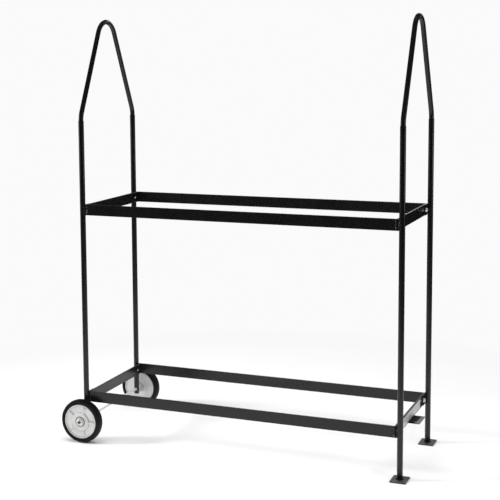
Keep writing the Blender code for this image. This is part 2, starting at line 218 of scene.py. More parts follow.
# ------------------------------------------------------------------ material helpers
class Finish:
    """A node material; every method returns the socket that carries its result."""

    def __init__(self, name):
        self.mat = bpy.data.materials.new(name)
        self.mat.use_nodes = True
        self.tree = self.mat.node_tree
        self.shader = self.tree.nodes["Principled BSDF"]
        coords = self.tree.nodes.new("ShaderNodeTexCoord")
        self.place = coords.outputs["Object"]
        self.facing = coords.outputs["Normal"]

    def node(self, kind, **settings):
        made = self.tree.nodes.new(kind)
        for key, value in settings.items():
            setattr(made, key, value)
        return made

    def feed(self, socket, value):
        if isinstance(value, bpy.types.NodeSocket):
            self.tree.links.new(value, socket)
        elif isinstance(value, (tuple, list)) and len(value) == 3 and socket.type == "RGBA":
            socket.default_value = (*value, 1.0)
        else:
            socket.default_value = value

    def scaled(self, stretch):
        node = self.node("ShaderNodeMapping")
        self.feed(node.inputs["Vector"], self.place)
        node.inputs["Scale"].default_value = stretch
        return node.outputs["Vector"]

    def noise(self, scale, detail=2.0, rough=0.5, stretch=None):
        node = self.node("ShaderNodeTexNoise")
        self.feed(node.inputs["Vector"], self.scaled(stretch) if stretch else self.place)
        self.feed(node.inputs["Scale"], scale)
        self.feed(node.inputs["Detail"], detail)
        self.feed(node.inputs["Roughness"], rough)
        return node.outputs["Fac"]

    def cells(self, scale, feature="F1", output="Distance"):
        node = self.node("ShaderNodeTexVoronoi", feature=feature)
        self.feed(node.inputs["Vector"], self.place)
        self.feed(node.inputs["Scale"], scale)
        return node.outputs[output]

    def spread(self, value, low, high, to_low=0.0, to_high=1.0):
        node = self.node("ShaderNodeMapRange", interpolation_type="SMOOTHSTEP")
        for key, amount in zip(
            ("Value", "From Min", "From Max", "To Min", "To Max"),
            (value, low, high, to_low, to_high),
        ):
            self.feed(node.inputs[key], amount)
        return node.outputs["Result"]

    def math(self, operation, a, b=0.0):
        node = self.node("ShaderNodeMath", operation=operation)
        self.feed(node.inputs[0], a)
        self.feed(node.inputs[1], b)
        return node.outputs["Value"]

    def blend(self, share, a, b):
        node = self.node("ShaderNodeMix", data_type="RGBA")
        self.feed(node.inputs["Factor"], share)
        self.feed(node.inputs[6], a)
        self.feed(node.inputs[7], b)
        return node.outputs[2]

    def part(self, vector, axis):
        node = self.node("ShaderNodeSeparateXYZ")
        self.feed(node.inputs["Vector"], vector)
        return node.outputs[axis]

    def edges(self, radius):
        """Near 1 on sharp outside edges, 0 on flat faces."""
        soft = self.node("ShaderNodeBevel", samples=4)
        self.feed(soft.inputs["Radius"], radius)
        geometry = self.node("ShaderNodeNewGeometry")
        dot = self.node("ShaderNodeVectorMath", operation="DOT_PRODUCT")
        self.feed(dot.inputs[0], soft.outputs["Normal"])
        self.feed(dot.inputs[1], geometry.outputs["Normal"])
        return self.spread(dot.outputs["Value"], 0.90, 0.995, 1.0, 0.0)

    def relief(self, height, strength, distance, under=None):
        node = self.node("ShaderNodeBump")
        self.feed(node.inputs["Height"], height)
        self.feed(node.inputs["Strength"], strength)
        self.feed(node.inputs["Distance"], distance)
        if under is not None:
            self.feed(node.inputs["Normal"], under)
        return node.outputs["Normal"]

    def dust(self, amount):
        """Settled dust on faces that look up, broken into patches."""
        up = self.spread(self.part(self.facing, "Z"), 0.45, 0.98)
        patches = self.spread(self.noise(38.0, 5.0, 0.62), 0.36, 0.70)
        return self.math("MULTIPLY", self.math("MULTIPLY", up, patches), amount)

    def wear(self, radius, amount):
        """Rubbed paint along edges, only here and there."""
        broken = self.spread(self.noise(85.0, 5.0, 0.65), 0.50, 0.66)
        return self.math("MULTIPLY", self.math("MULTIPLY", self.edges(radius), broken), amount)

    def finish(self, colour, roughness, normal, metallic=0.0):
        self.feed(self.shader.inputs["Base Color"], colour)
        self.feed(self.shader.inputs["Roughness"], roughness)
        self.feed(self.shader.inputs["Normal"], normal)
        self.feed(self.shader.inputs["Metallic"], metallic)
        return self.mat


def powder_coat(name, tone, rough, dust=0.16, edge=0.0, scorch_and_shade_from=None, sheen_from=None):
    """Satin black powder coat: orange peel, slow gloss changes, dust nibs, dusty tops.

    `scorch_and_shade_from` is the distance from the middle plane beyond which the paint is darker
    and duller: weld heat at the cross-members' ends, painted shade of the gap by the leg on the
    tabs;
    `sheen_from` is the X beyond which the coat is painted lighter, a painted sheen, and made
    glossier.
    """
    f = Finish(name)
    f.feed(f.shader.inputs["Specular IOR Level"], COAT_SHINE)
    cloud = f.spread(f.noise(7.0, 4.0, 0.6), 0.30, 0.72)
    colour = f.blend(cloud, tint(tone, 0.82), tint(tone, 1.28))
    wave = f.noise(190.0, 3.0, 0.55)
    roughness = f.spread(wave, 0.25, 0.75, rough - 0.05, rough + 0.06)
    if edge > 0.0:
        rubbed = f.wear(0.0014, edge)
        colour = f.blend(rubbed, colour, PRIMER)
        roughness = f.math("ADD", roughness, f.math("MULTIPLY", rubbed, 0.15))
    if scorch_and_shade_from is not None:
        # darker paint past this distance: weld heat at the cross-members' ends, painted shade of the
        # gap by the leg on the tabs
        off_middle = f.math("ABSOLUTE", f.part(f.place, "Y"))
        scorch_and_shade = f.spread(off_middle, scorch_and_shade_from - 0.0008, scorch_and_shade_from + 0.0008)
        colour = f.blend(scorch_and_shade, colour, tint(tone, 0.45))
        roughness = f.math("ADD", roughness, f.math("MULTIPLY", scorch_and_shade, 0.42))
        shine = f.spread(scorch_and_shade, 0.0, 1.0, COAT_SHINE, 0.18)
        f.feed(f.shader.inputs["Specular IOR Level"], shine)
    if sheen_from is not None:
        ragged = f.math("MULTIPLY", f.math("SUBTRACT", f.noise(46.0, 5.0, 0.7), 0.5), 0.050)
        along = f.math("ADD", f.part(f.place, "X"), ragged)
        sheen = f.spread(along, sheen_from - 0.004, sheen_from + 0.006, 0.0, 0.9)
        # painted sheen: past the leg the lift plate is painted lighter and made glossier; by the leg
        # it stays dark
        colour = f.blend(sheen, colour, PAINTED_SHEEN)
        roughness = f.spread(sheen, 0.0, 0.9, 0.58, 0.40)
        shine = f.spread(sheen, 0.0, 0.9, 0.08, COAT_SHINE)
        f.feed(f.shader.inputs["Specular IOR Level"], shine)
    settled = f.dust(dust)
    colour = f.blend(settled, colour, DUST)
    roughness = f.math("ADD", roughness, f.math("MULTIPLY", settled, 0.9))
    peel = f.relief(f.noise(820.0, 2.0, 0.5), 0.05, 0.00030)
    long_peel = f.relief(wave, 0.05, 0.00050, peel)
    nibs = f.spread(f.cells(420.0), 0.06, 0.13, 1.0, 0.0)
    normal = f.relief(nibs, 0.04, 0.00020, long_peel)
    return f.finish(colour, roughness, normal)


def weld_coat(name):
    """Painted weld: lighter paint, laid thinly in patches, and spots of unpainted metal, brightened
    further as painted glints.
    """
    f = Finish(name)
    patch = f.spread(f.noise(150.0, 4.0, 0.6), 0.42, 0.66)
    colour = f.blend(patch, BLACK, tint(BLACK, 2.2))
    # spots of unpainted metal, made bright enough to serve as painted glints on the bead
    bare_and_glint = f.spread(f.noise(95.0, 2.0, 0.5), 0.58, 0.66, 0.0, 0.80)
    colour = f.blend(bare_and_glint, colour, BARE_WELD_AND_GLINT)
    roughness = f.spread(patch, 0.0, 1.0, 0.22, 0.40)
    normal = f.relief(f.noise(900.0, 3.0, 0.6), 0.25, 0.00030)
    return f.finish(colour, roughness, normal)


def plated(name, tone, rough, turned=None, metal=0.95, dark_ends_from=None):
    """Zinc-plated steel: faint crystal patches, fine marks, dull blooms of white oxide.

    `dark_ends_from` is the distance along Y, from the piece's middle, where the near-black ends
    begin.
    """
    f = Finish(name)
    cells = f.part(f.cells(230.0, output="Color"), "X")
    shade = f.spread(cells, 0.0, 1.0)
    colour = f.blend(shade, tint(tone, 0.88), tint(tone, 1.08))
    bloom = f.spread(f.noise(60.0, 5.0, 0.65), 0.56, 0.74)
    colour = f.blend(f.math("MULTIPLY", bloom, 0.35), colour, WHITE_OXIDE)
    if dark_ends_from is not None:
        off_middle = f.math("ABSOLUTE", f.part(f.place, "Y"))
        end_wobble = f.math("MULTIPLY", f.math("SUBTRACT", f.noise(160.0, 3.0, 0.6), 0.5), 0.004)
        darkened_end = f.spread(f.math("ADD", off_middle, end_wobble), dark_ends_from, dark_ends_from + 0.001, 0.0, 0.96)
        colour = f.blend(darkened_end, colour, AXLE_END_DARK)
    roughness = f.spread(f.noise(320.0, 3.0, 0.6), 0.25, 0.75, rough - 0.07, rough + 0.08)
    roughness = f.math("ADD", roughness, f.math("MULTIPLY", bloom, 0.22))
    marks = f.noise(420.0, 3.0, 0.6, turned)
    normal = f.relief(marks, 0.16, 0.00020)
    metallic = f.spread(bloom, 0.0, 1.0, metal, 0.75 * metal)
    return f.finish(colour, roughness, normal, metallic)


def self_shade(f):
    """Near 1 in the corners at the foot of a rib or ring, 0 on open faces."""
    corner = f.node("ShaderNodeAmbientOcclusion", samples=6, only_local=True)
    corner.inputs["Distance"].default_value = 0.009
    return f.spread(corner.outputs["AO"], 0.55, 0.95, 0.35, 0.0)


def silver_paint(name):
    """Silver-coated pressed steel: fine metallic flake, painted shade in the grooves round the hub.
    """
    f = Finish(name)
    flake = f.part(f.cells(1500.0, output="Color"), "X")
    colour = f.blend(flake, tint(SILVER, 0.93), tint(SILVER, 1.06))
    cloud = f.spread(f.noise(30.0, 3.0, 0.55), 0.32, 0.68, 0.0, 0.30)
    colour = f.blend(cloud, colour, tint(SILVER, 0.62))
    grime = f.spread(f.noise(42.0, 5.0, 0.66), 0.54, 0.80, 0.0, 0.30)
    colour = f.blend(grime, colour, WHEEL_STAIN)
    flat = f.math("POWER", f.part(f.place, "X"), 2.0)
    upright = f.math("POWER", f.part(f.place, "Z"), 2.0)
    radius = f.math("SQRT", f.math("ADD", flat, upright))
    patchy = f.spread(f.noise(90.0, 4.0, 0.6), 0.30, 0.62, 0.35, 1.0)
    hollow = self_shade(f)
    # painted shade in the corners at the feet of the ribs and rings
    colour = f.blend(f.math("MULTIPLY", hollow, patchy), colour, GROOVE_SHADE)
    # painted shade along the grooves
    for groove, width, depth in SHADED_GROOVES:
        away = f.math("ABSOLUTE", f.math("SUBTRACT", radius, groove))
        ring = f.spread(away, 0.0, width, depth, 0.0)
        colour = f.blend(f.math("MULTIPLY", ring, patchy), colour, GROOVE_SHADE)
    roughness = f.spread(f.noise(260.0, 3.0, 0.6), 0.25, 0.75, 0.36, 0.48)
    roughness = f.math("ADD", roughness, f.math("MULTIPLY", grime, 0.5))
    normal = f.relief(f.noise(700.0, 2.0, 0.5), 0.10, 0.00020)
    return f.finish(colour, roughness, normal, 0.45)


def rubber(name):
    """Moulded black rubber: fine grain and grey scuffs."""
    f = Finish(name)
    cloud = f.spread(f.noise(24.0, 5.0, 0.6), 0.35, 0.70)
    colour = f.blend(cloud, tint(RUBBER, 0.8), tint(RUBBER, 1.5))
    scuff = f.spread(f.noise(120.0, 6.0, 0.7, (1.0, 0.35, 1.0)), 0.57, 0.74, 0.0, 0.35)
    colour = f.blend(scuff, colour, RUBBER_SCUFF)
    roughness = f.spread(cloud, 0.0, 1.0, 0.56, 0.74)
    grain = f.relief(f.noise(1300.0, 3.0, 0.6), 0.30, 0.00025)
    normal = f.relief(f.noise(95.0, 4.0, 0.6), 0.10, 0.0006, grain)
    f.feed(f.shader.inputs["Specular IOR Level"], 0.25)
    return f.finish(colour, roughness, normal)


def label_foil(name):
    """Blank silver label: brushed grain along its length and light handling marks."""
    f = Finish(name)
    brushed = f.noise(900.0, 3.0, 0.6, (1.0, 0.03, 1.0))
    colour = f.blend(brushed, FOIL_DARK, FOIL_LIGHT)
    smudge = f.spread(f.noise(22.0, 4.0, 0.6), 0.45, 0.75, 0.0, 0.35)
    colour = f.blend(smudge, colour, FOIL_SMUDGE)
    roughness = f.spread(f.noise(60.0, 4.0, 0.6), 0.3, 0.7, 0.34, 0.52)
    normal = f.relief(brushed, 0.10, 0.00010)
    return f.finish(colour, roughness, normal, 0.35)


leg_axis = centre("upright_rear_foot_end").y
cross_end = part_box("cross_lower_foot_end")[1].y
leg_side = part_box("upright_front_foot_end")[1].x
axle_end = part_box("axle")[1].y

COAT_TUBE = powder_coat("coat_tube", BLACK, 0.27, 0.06)
COAT_BAR = powder_coat("coat_bar", CHARCOAL, 0.27, 0.26, 0.55)
COAT_CROSS = powder_coat("coat_cross", CHARCOAL, 0.27, 0.26, 0.55, scorch_and_shade_from=cross_end - SCORCHED_END)
# tabs: painted shade of the gap by the leg, near their root
COAT_PLATE = powder_coat("coat_plate", BLACK, 0.33, 0.26, 0.60, scorch_and_shade_from=leg_axis - TAB_ROOT_SHADE)
# foot pads: lighter tone as a painted reflection
COAT_FLOOR_PLATE = powder_coat("coat_floor_plate", PAD_COAT_REFLECTION, 0.34, 0.62, 0.85)
COAT_LIFT = powder_coat("coat_lift_plate", BLACK, 0.36, 0.04, 0.85, sheen_from=leg_side + SHEEN_START)
WELD = weld_coat("coat_weld")
BRIGHT_BOLT = plated("bright_bolt_finish", ZINC, 0.30, metal=0.60)
AXLE_ZINC = plated(
    "axle_finish", STEEL, 0.32, (1.0, 0.06, 1.0), 0.25, dark_ends_from=axle_end - DARK_AXLE_END,
)
WASHER_ZINC = plated("washer_finish", ZINC, 0.28, metal=0.60)
WHEEL_SILVER = silver_paint("wheel_disc_finish")
WHEEL_RUBBER = rubber("wheel_rubber")
LABEL_FOIL = label_foil("label_foil")


# ------------------------------------------------------------------ mesh helpers
def piece(name, verts, faces, mat, nodes=(), body="frame", place=(0, 0, 0), sharp=32.0):
    """A shaded mesh that rides on its body and stands for the CAD nodes named."""
    mesh = bpy.data.meshes.new(name)
    mesh.from_pydata([tuple(v) for v in verts], [], faces)
    mesh.validate()
    return dress(name, mesh, mat, nodes, body, place, sharp)


def dress(name, mesh, mat, nodes, body="frame", place=(0, 0, 0), sharp=32.0):
    mesh.polygons.foreach_set("use_smooth", [True] * len(mesh.polygons))
    mesh.set_sharp_from_angle(angle=radians(sharp))
    mesh.update()
    mesh.materials.clear()
    mesh.materials.append(mat)
    obj = bpy.data.objects.new(name, mesh)
    obj.location = place
    bpy.context.scene.collection.objects.link(obj)
    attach(obj, body)
    if nodes:
        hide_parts(*nodes)
    return obj


def quads(ring_count, segs, closed):
    """Faces between rings of `segs` points; `closed` joins the last ring to the first."""
    faces = []
    for i in range(ring_count if closed else ring_count - 1):
        a = i * segs
        b = ((i + 1) % ring_count) * segs
        for j in range(segs):
            k = (j + 1) % segs
            faces.append((a + j, a + k, b + k, b + j))
    return faces


def fillet(points, radii, closed=True, steps=4):
    """Round the corners of a 2-D outline; `radii` is one number or one for each corner."""
    count = len(points)
    out = []
    for i, corner in enumerate(points):
        radius = radii[i] if isinstance(radii, (list, tuple)) else radii
        here = Vector(corner)
        if radius <= 0.0 or (not closed and i in (0, count - 1)):
            out.append(tuple(here))
            continue
        back = Vector(points[i - 1]) - here
        ahead = Vector(points[(i + 1) % count]) - here
        angle = back.angle(ahead)
        if angle > pi - 0.02:
            out.append(tuple(here))
            continue
        reach = min(radius / tan(angle / 2), 0.47 * back.length, 0.47 * ahead.length)
        start = here + back.normalized() * reach
        stop = here + ahead.normalized() * reach
        for step in range(steps + 1):
            t = step / steps
            bend = (1 - t) * (1 - t) * start + 2 * t * (1 - t) * here + t * t * stop
            out.append(tuple(bend))
    return out


TURN = {
    "Z": Matrix.Identity(3),
    "+Y": Matrix.Rotation(-pi / 2, 3, "X"),
    "-Y": Matrix.Rotation(pi / 2, 3, "X"),
    "+X": Matrix.Rotation(pi / 2, 3, "Y"),
    "-X": Matrix.Rotation(-pi / 2, 3, "Y"),
}


def turned(profile, segs, axis="Z", closed=True, shape=None):
    """Vertices and faces of (radius, height) points turned about an axis."""
    verts = []
    for radius, height in profile:
        for j in range(segs):
            turn = 2 * pi * j / segs
            r, h = shape(radius, height, turn) if shape else (radius, height)
            verts.append(TURN[axis] @ Vector((r * cos(turn), r * sin(turn), h)))
    faces = quads(len(profile), segs, closed)
    if not closed:
        last = (len(profile) - 1) * segs
        faces.append(tuple(reversed(range(segs))))
        faces.append(tuple(range(last, last + segs)))
    return verts, faces


def swept(path, side, sections, segs):
    """Rings of (path index, shift along the path, radius) round a flat path."""
    side = Vector(side)
    points = [Vector(p) for p in path]
    verts = []
    for index, shift, radius in sections:
        ahead = points[min(index + 1, len(points) - 1)] - points[max(index - 1, 0)]
        heading = ahead.normalized()
        across = heading.cross(side)
        middle = points[index] + shift * heading
        for j in range(segs):
            turn = 2 * pi * j / segs
            verts.append(middle + radius * (cos(turn) * side + sin(turn) * across))
    return verts


def tube(name, path, side, r_out, wall, mat, nodes, segs=TUBE_SEGS):
    """Open-ended tube with softly rounded cut ends."""
    e = TUBE_EDGE
    r_in = r_out - wall
    last = len(path) - 1
    outer = [(0, 0.0, r_out - e), (0, 0.3 * e, r_out - 0.3 * e), (0, e, r_out)]
    outer += [(i, 0.0, r_out) for i in range(1, last)]
    outer += [(last, -e, r_out), (last, -0.3 * e, r_out - 0.3 * e), (last, 0.0, r_out - e)]
    inner = [(last, 0.0, r_in + e), (last, -e, r_in)]
    inner += [(i, 0.0, r_in) for i in range(last - 1, 0, -1)]
    inner += [(0, e, r_in), (0, 0.0, r_in + e)]
    sections = outer + inner
    verts = swept(path, side, sections, segs)
    return piece(name, verts, quads(len(sections), segs, True), mat, nodes, sharp=50.0)


def drilled(obj, holes):
    """Cut round holes, each (place, axis, radius, length), through a finished mesh."""
    tools = []
    for place, axis, radius, length in holes:
        verts, faces = turned([(radius, -length / 2), (radius, length / 2)], 40, axis, False)
        mesh = bpy.data.meshes.new("drill")
        mesh.from_pydata([tuple(v + Vector(place)) for v in verts], [], faces)
        tool = bpy.data.objects.new("drill", mesh)
        bpy.context.scene.collection.objects.link(tool)
        mod = obj.modifiers.new("drill", "BOOLEAN")
        mod.operation = "DIFFERENCE"
        mod.solver = "EXACT"
        mod.object = tool
        tools.append(tool)
    bpy.context.view_layer.update()
    ready = obj.evaluated_get(bpy.context.evaluated_depsgraph_get())
    mesh = bpy.data.meshes.new_from_object(ready)
    obj.modifiers.clear()
    old = obj.data
    obj.data = mesh
    bpy.data.meshes.remove(old)
    mesh.name = obj.name
    for tool in tools:
        bpy.data.objects.remove(tool)
    mesh.polygons.foreach_set("use_smooth", [True] * len(mesh.polygons))
    mesh.set_sharp_from_angle(angle=radians(32.0))
    return obj


def even_shading(obj):
    """Weighted normals, so that flat faces stay flat beside their rounded edges."""
    mod = obj.modifiers.new("shading", "WEIGHTED_NORMAL")
    mod.keep_sharp = True
    return obj


def rounded_box(name, low, high, edge, mat, slot, nodes, corner=0.0, corner_axis=2):
    """Plate or bar with rolled edges; `corner` rounds the edges along one axis more."""
    low, high = Vector(low), Vector(high)
    bm = bmesh.new()
    bmesh.ops.create_cube(bm, size=1.0)
    for v in bm.verts:
        v.co = Vector((low[i] + (v.co[i] + 0.5) * (high[i] - low[i]) for i in range(3)))
    if corner > 0.0:
        along = [
            e for e in bm.edges
            if abs((e.verts[0].co - e.verts[1].co).normalized()[corner_axis]) > 0.99
        ]
        bmesh.ops.bevel(bm, geom=along, offset=corner, segments=6, profile=0.5, affect="EDGES")
    crisp = [e for e in bm.edges if e.calc_face_angle(0.0) > radians(40.0)]
    bmesh.ops.bevel(bm, geom=crisp, offset=edge, segments=3, profile=0.5, affect="EDGES")
    bmesh.ops.recalc_face_normals(bm, faces=bm.faces)
    mesh = bpy.data.meshes.new(name)
    bm.to_mesh(mesh)
    bm.free()
    return dress(name, mesh, mat, nodes)


def bead(name, path, radius, closed=False):
    """Weld bead: a rippled rope of metal laid along a path, sunk into what it joins."""
    points = [Vector(p) for p in path]
    lengths = [0.0]
    for a, b in zip(points, points[1:]):
        lengths.append(lengths[-1] + (b - a).length)
    total = lengths[-1]
    count = max(8, int(total / (BEAD_PITCH / 5)))
    verts = []
    where = 0
    for i in range(count if closed else count + 1):
        target = total * i / count
        while where < len(lengths) - 2 and lengths[where + 1] < target:
            where += 1
        run = lengths[where + 1] - lengths[where]
        t = (target - lengths[where]) / run
        middle = points[where].lerp(points[where + 1], t)
        heading = (points[where + 1] - points[where]).normalized()
        up = Vector((0, 0, 1)) if abs(heading.z) < 0.9 else Vector((1, 0, 0))
        across = heading.cross(up).normalized()
        top = across.cross(heading)
        phase = (target / BEAD_PITCH) % 1.0
        size = radius * (0.90 + 0.13 * sqrt(1.0 - (2 * phase - 1) ** 2))
        size *= 1.0 + 0.05 * sin(target * 410.0) + 0.04 * sin(target * 1130.0 + 1.0)
        if not closed:
            near = min(target, total - target)
            size *= max(0.12, min(1.0, sqrt(near / (1.3 * radius)) if near > 0 else 0.12))
        for j in range(BEAD_SEGS):
            turn = 2 * pi * j / BEAD_SEGS
            verts.append(middle + size * (cos(turn) * across + sin(turn) * top))
    rings = len(verts) // BEAD_SEGS
    faces = [tuple(reversed(f)) for f in quads(rings, BEAD_SEGS, closed)]
    if not closed:
        faces.append(tuple(range(BEAD_SEGS)))
        faces.append(tuple(reversed(range(len(verts) - BEAD_SEGS, len(verts)))))
    obj = piece(name, verts, faces, WELD, sharp=75.0)
    bm = bmesh.new()
    bm.from_mesh(obj.data)
    bmesh.ops.recalc_face_normals(bm, faces=bm.faces)
    bm.to_mesh(obj.data)
    bm.free()
    return obj


# ------------------------------------------------------------------ uprights and hoops
axle_mid = centre("axle")
for end in ENDS:
    for side in SIDES:
        node = f"upright_{side}_{end}_end"
        low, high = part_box(node)
        mid = (low + high) / 2
        r_out = (high.x - low.x) / 2
        heights = (low.z, (low.z + mid.z) / 2, mid.z, (mid.z + high.z) / 2, high.z)
        path = [(mid.x, mid.y, z) for z in heights]
        upright = tube(
            f"{node}_tube", path, (1, 0, 0), r_out, UPRIGHT_WALL, COAT_TUBE,
            [node],
        )
        if end == "wheel":
            drilled(upright, [((mid.x, mid.y, axle_mid.z), "+Y", AXLE_R + DRILL_PLAY, 0.05)])


def hoop_line(x, leg_y, apex, bottom):
    """Hoop centre line from spigot to spigot: upright, lean in, round over the top."""
    bend_y = -leg_y + HOOP_BEND
    straight = (leg_y - HOOP_BEND) / sin(HOOP_LEAN)
    bend_z = apex - HOOP_BEND - straight * cos(HOOP_LEAN)
    half = [(x, -leg_y, bottom), (x, -leg_y, bend_z - HOOP_START)]
    for i in range(9):
        turn = HOOP_LEAN * i / 8
        half.append((x, bend_y - HOOP_BEND * cos(turn), bend_z + HOOP_BEND * sin(turn)))
    for i in range(17):
        turn = HOOP_LEAN + (pi / 2 - HOOP_LEAN) * i / 16
        half.append((x, -HOOP_BEND * cos(turn), apex - HOOP_BEND + HOOP_BEND * sin(turn)))
    return half + [(x, -y, z) for x, y, z in reversed(half[:-1])]


for end in ENDS:
    node = f"hoop_{end}_end"
    low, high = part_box(node)
    mid = (low + high) / 2
    r_out = (high.x - low.x) / 2
    line = hoop_line(mid.x, (high.y - low.y) / 2 - r_out, high.z - r_out, low.z)
    tube(f"{node}_tube", line, (1, 0, 0), r_out, HOOP_WALL, COAT_TUBE, [node])

# ------------------------------------------------------------------ rails, cross-members
for tier in TIERS:
    for side in SIDES:
        node = f"rail_{tier}_{side}"
        rail = rounded_box(
            f"{node}_bar", *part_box(node), BAR_EDGE, COAT_BAR, "black_coat_bar", [node],
        )
        even_shading(rail)
    for end in ENDS:
        node = f"cross_{tier}_{end}_end"
        cross = rounded_box(
            f"{node}_bar", *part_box(node), BAR_EDGE, COAT_CROSS, "black_coat_bar", [node],
        )
        spots = [centre(f"cross_bolt_{tier}_{side}_{end}") for side in SIDES]
        mid_x = centre(node).x
        drilled(cross, [((mid_x, p.y, p.z), "+X", DRILL_R, 0.03) for p in spots])
        even_shading(cross)


# ------------------------------------------------------------------ corner brackets, welds
def tab_mesh(low, high, way):
    """Flat tab: square against the leg, rounded at its free end."""
    size = high - low
    root_y = low.y if way > 0 else high.y
    square = [(0, 0), (size.y, 0), (size.y, size.z), (0, size.z)]
    outline = fillet(square, [0, BRACKET_CORNER, BRACKET_CORNER, 0], steps=8)
    bm = bmesh.new()
    ring = [bm.verts.new((low.x, root_y + way * u, low.z + v)) for u, v in outline]
    grown = bmesh.ops.extrude_face_region(bm, geom=[bm.faces.new(ring)])
    for v in (g for g in grown["geom"] if isinstance(g, bmesh.types.BMVert)):
        v.co.x = high.x
    bmesh.ops.recalc_face_normals(bm, faces=bm.faces)
    crisp = [e for e in bm.edges if e.calc_face_angle(0.0) > radians(40.0)]
    bmesh.ops.bevel(bm, geom=crisp, offset=PLATE_EDGE, segments=2, profile=0.5, affect="EDGES")
    mesh = bpy.data.meshes.new("tab")
    bm.to_mesh(mesh)
    bm.free()
    return mesh


for tier in TIERS:
    for end, e in ENDS.items():
        for side, s in SIDES.items():
            tag = f"{tier}_{side}_{end}"
            node = f"bracket_{tag}"
            low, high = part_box(node)
            obj = dress(
                f"{node}_tab", tab_mesh(low, high, -s), COAT_PLATE, [node],
            )
            spot = centre(f"cross_bolt_{tag}")
            mid_x = (low.x + high.x) / 2
            drilled(obj, [((mid_x, spot.y, spot.z), "+X", DRILL_R, 0.012)])
            even_shading(obj)
            leg = centre(f"upright_{side}_{end}_end")
            for label, way in (("out", s), ("in", -s)):
                face_x = (high.x if e > 0 else low.x) + e * TAB_BEAD_OUT
                y = leg.y + way * GROOVE
                line = [(face_x, y, low.z + BEAD_SHORT), (face_x, y, high.z - BEAD_SHORT)]
                bead(f"weld_{label}_{tag}", line, TAB_BEAD_R)
            rail_low, rail_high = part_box(f"rail_{tier}_{side}")
            seam_x = rail_high.x if e > 0 else rail_low.x
            seam_y = (rail_high.y if s > 0 else rail_low.y) - s * SEAM_SINK
            ends = (rail_low.z + BEAD_SHORT, rail_high.z - BEAD_SHORT)
            bead(f"weld_corner_{tag}", [(seam_x, seam_y, z) for z in ends], SEAM_R)


# ------------------------------------------------------------------ bolts
def hex_reach(turn, flats):
    """Distance from the axis to the side of a hexagon, at one angle."""
    local = (turn + pi / 6) % (pi / 3) - pi / 6
    return flats / 2 / cos(local)


def bolt(name, node, axis, mat, flats, shank_r, threads):
    """Flanged hex-head bolt with chamfered corners, a dished top and a threaded end.

    Rings marked 1 are hexagonal, and reach `hexed` as negative radii.
    """
    low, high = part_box(node)
    mid = (low + high) / 2
    along = 1 if axis[1] == "Y" else 0
    sign = 1.0 if axis[0] == "+" else -1.0
    flange_r = (high.z - low.z) / 2
    tip = high[along] if sign > 0 else low[along]
    tail = low[along] if sign > 0 else high[along]
    head = BOLT_HEAD
    seat = tip - sign * head
    length = abs(tail - seat)
    place = [mid.x, mid.y, mid.z]
    place[along] = seat
    corner = flats / 2 / cos(pi / 6)

    def hexed(radius, height, turn):
        if radius < 0.0:
            return min(hex_reach(turn, flats), -radius), height
        return radius, height

    def threaded(radius, height, turn):
        wave = ((height / THREAD_PITCH - turn / (2 * pi)) % 1.0) * 2 - 1
        return radius - THREAD_DEPTH * abs(wave), height

    rings = [
        (shank_r, -length + threads, 0), (shank_r, -0.0002, 0), (flange_r - 0.0006, 0.0, 0),
        (flange_r - 0.0001, head * 0.04, 0), (flange_r, head * 0.10, 0),
        (flange_r - 0.0003, head * 0.17, 0), (corner + 0.0004, head * 0.27, 0),
        (corner * 0.995, head * 0.32, 1), (corner, head * 0.36, 1), (corner, head * 0.80, 1),
        (corner - head * 0.07, head * 0.87, 1), (corner - head * 0.16, head * 0.94, 1),
        (flats / 2 * 0.955, head * 0.985, 1), (flats / 2 * 0.90, head, 1),
        (flats / 2 * 0.66, head, 0), (flats / 2 * 0.58, head * 0.94, 0),
        (flats / 2 * 0.05, head * 0.93, 0),
    ]
    profile = [(-r if is_hex else r, h) for r, h, is_hex in rings]
    head_verts, head_faces = turned(profile, TUBE_SEGS, axis, False, hexed)
    steps = max(6, int(threads / THREAD_PITCH * 8))
    tail_profile = [(shank_r * 0.72, -length), (shank_r - 0.0004, -length + 0.0006)]
    tail_profile += [
        (shank_r, -length + 0.0008 + (threads - 0.0009) * k / steps) for k in range(steps + 1)
    ]
    tail_verts, tail_faces = turned(tail_profile, 32, axis, False, threaded)
    base = len(head_verts)
    faces = head_faces + [tuple(base + v for v in f) for f in tail_faces]
    piece(name, head_verts + tail_verts, faces, mat, [node], place=place, sharp=28.0)


for tier in TIERS:
    for side in SIDES:
        for end, e in ENDS.items():
            tag = f"{tier}_{side}_{end}"
            bolt(
                f"cross_bolt_{tag}_hex", f"cross_bolt_{tag}", "-X" if e < 0 else "+X",
                BRIGHT_BOLT, BOLT_FLATS, BOLT_SHANK_R, BOLT_THREADS,
            )

# ------------------------------------------------------------------ foot pads, lift plate
for side in SIDES:
    node = f"foot_pad_{side}"
    low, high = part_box(node)
    plate = rounded_box(
        f"{node}_plate", low, (high.x, high.y, low.z + PAD_T), PAD_EDGE,
        COAT_FLOOR_PLATE, "black_coat_plate", [node], PAD_CORNER,
    )
    even_shading(plate)
    leg_low, leg_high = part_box(f"upright_{side}_foot_end")
    leg = (leg_low + leg_high) / 2
    reach = (leg_high.x - leg_low.x) / 2 + PAD_BEAD_OUT
    turns = [2 * pi * k / PAD_BEAD_STEPS for k in range(PAD_BEAD_STEPS + 1)]
    height = low.z + PAD_T + BEAD_RAISE
    circle = [(leg.x + reach * cos(a), leg.y + reach * sin(a), height) for a in turns]
    bead(f"{node}_weld", circle, PAD_BEAD_R, closed=True)

